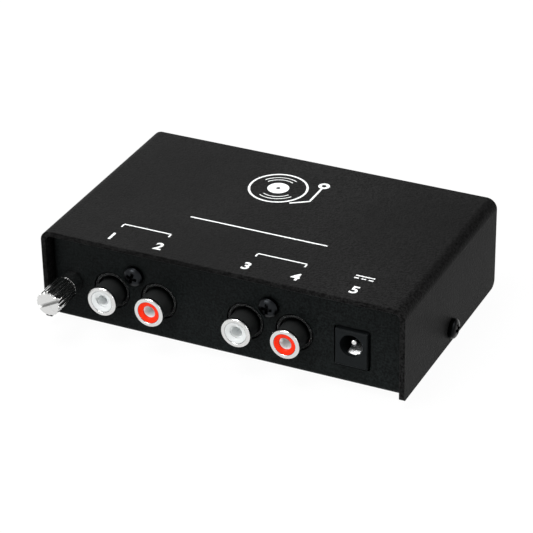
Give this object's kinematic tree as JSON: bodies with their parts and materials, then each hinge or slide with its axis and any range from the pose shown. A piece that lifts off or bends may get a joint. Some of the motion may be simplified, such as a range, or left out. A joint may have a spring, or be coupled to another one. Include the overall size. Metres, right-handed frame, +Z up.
{
  "type": "phono preamp",
  "caption": "Small black folded-metal phono preamp box with phono input and output sockets, a barrel power socket and a knurled ground terminal.",
  "frame": {"origin": "on the table, below the middle of the whole object", "axes": "+X to the right along the socket panel, +Y from the socket panel to the rear, +Z up"},
  "size_m": [0.1086, 0.075, 0.0294],
  "materials": {
    "powder_coat_cover": "black fine-textured powder coat",
    "powder_coat_chassis": "black satin powder coat",
    "black_screw": "black zinc",
    "zinc_screw": "bright zinc",
    "rubber": "matt",
    "black_moulding": "moulded satin",
    "nickel": "bright nickel plate",
    "tinned_brass": "tin plate",
    "white_insulator": "moulded",
    "red_insulator": "moulded",
    "board_laminate": "solder mask on glass epoxy",
    "chip_epoxy": "moulded epoxy",
    "capacitor_sleeve": "shrink sleeve",
    "film_case": "moulded box",
    "resistor_lacquer": "lacquer"
  },
  "bodies": {
    "case": {"cover": "powder_coat_cover", "chassis": "powder_coat_chassis", "cover_screws": "black_screw", "socket_screws": "black_screw", "board_screws": "zinc_screw", "rubber_feet": "rubber", "input_socket_block": "black_moulding", "output_socket_block": "black_moulding", "power_socket_housing": "black_moulding", "power_socket_pin": "nickel", "power_socket_leaf": "nickel", "power_socket_switch": "nickel", "ground_post": "nickel", "ground_nut": "nickel", "ground_tag": "tinned_brass", "circuit_board": "board_laminate", "amplifier_chips": "chip_epoxy", "voltage_regulators": "chip_epoxy", "protection_diode": "chip_epoxy", "smoothing_capacitors": "capacitor_sleeve", "coupling_capacitors": "capacitor_sleeve", "film_capacitors": "film_case", "resistors": "resistor_lacquer", "input_left_shell": "nickel", "input_left_insulator": "white_insulator", "input_left_contact": "tinned_brass", "input_right_shell": "nickel", "input_right_insulator": "red_insulator", "input_right_contact": "tinned_brass", "output_left_shell": "nickel", "output_left_insulator": "white_insulator", "output_left_contact": "tinned_brass", "output_right_shell": "nickel", "output_right_insulator": "red_insulator", "output_right_contact": "tinned_brass"},
    "terminal_washer": {"ground_washer": "nickel"},
    "thumbscrew": {"ground_thumbscrew": "nickel"}
  },
  "joints": [
    {"name": "washer_slide", "type": "slide", "parent": "case", "child": "terminal_washer", "axis": [0, -1, 0], "range_m": [0, 0.003]},
    {"name": "thumbscrew_turn", "type": "hinge", "parent": "terminal_washer", "child": "thumbscrew", "pos_m": [-0.04515, -0.0281, 0.0138], "axis": [0, -1, 0], "range_deg": [0, 2160]}
  ],
  "couplings": [
    {"joint": "thumbscrew_turn", "follows": "washer_slide", "rad_per_m": 12566}
  ]
}
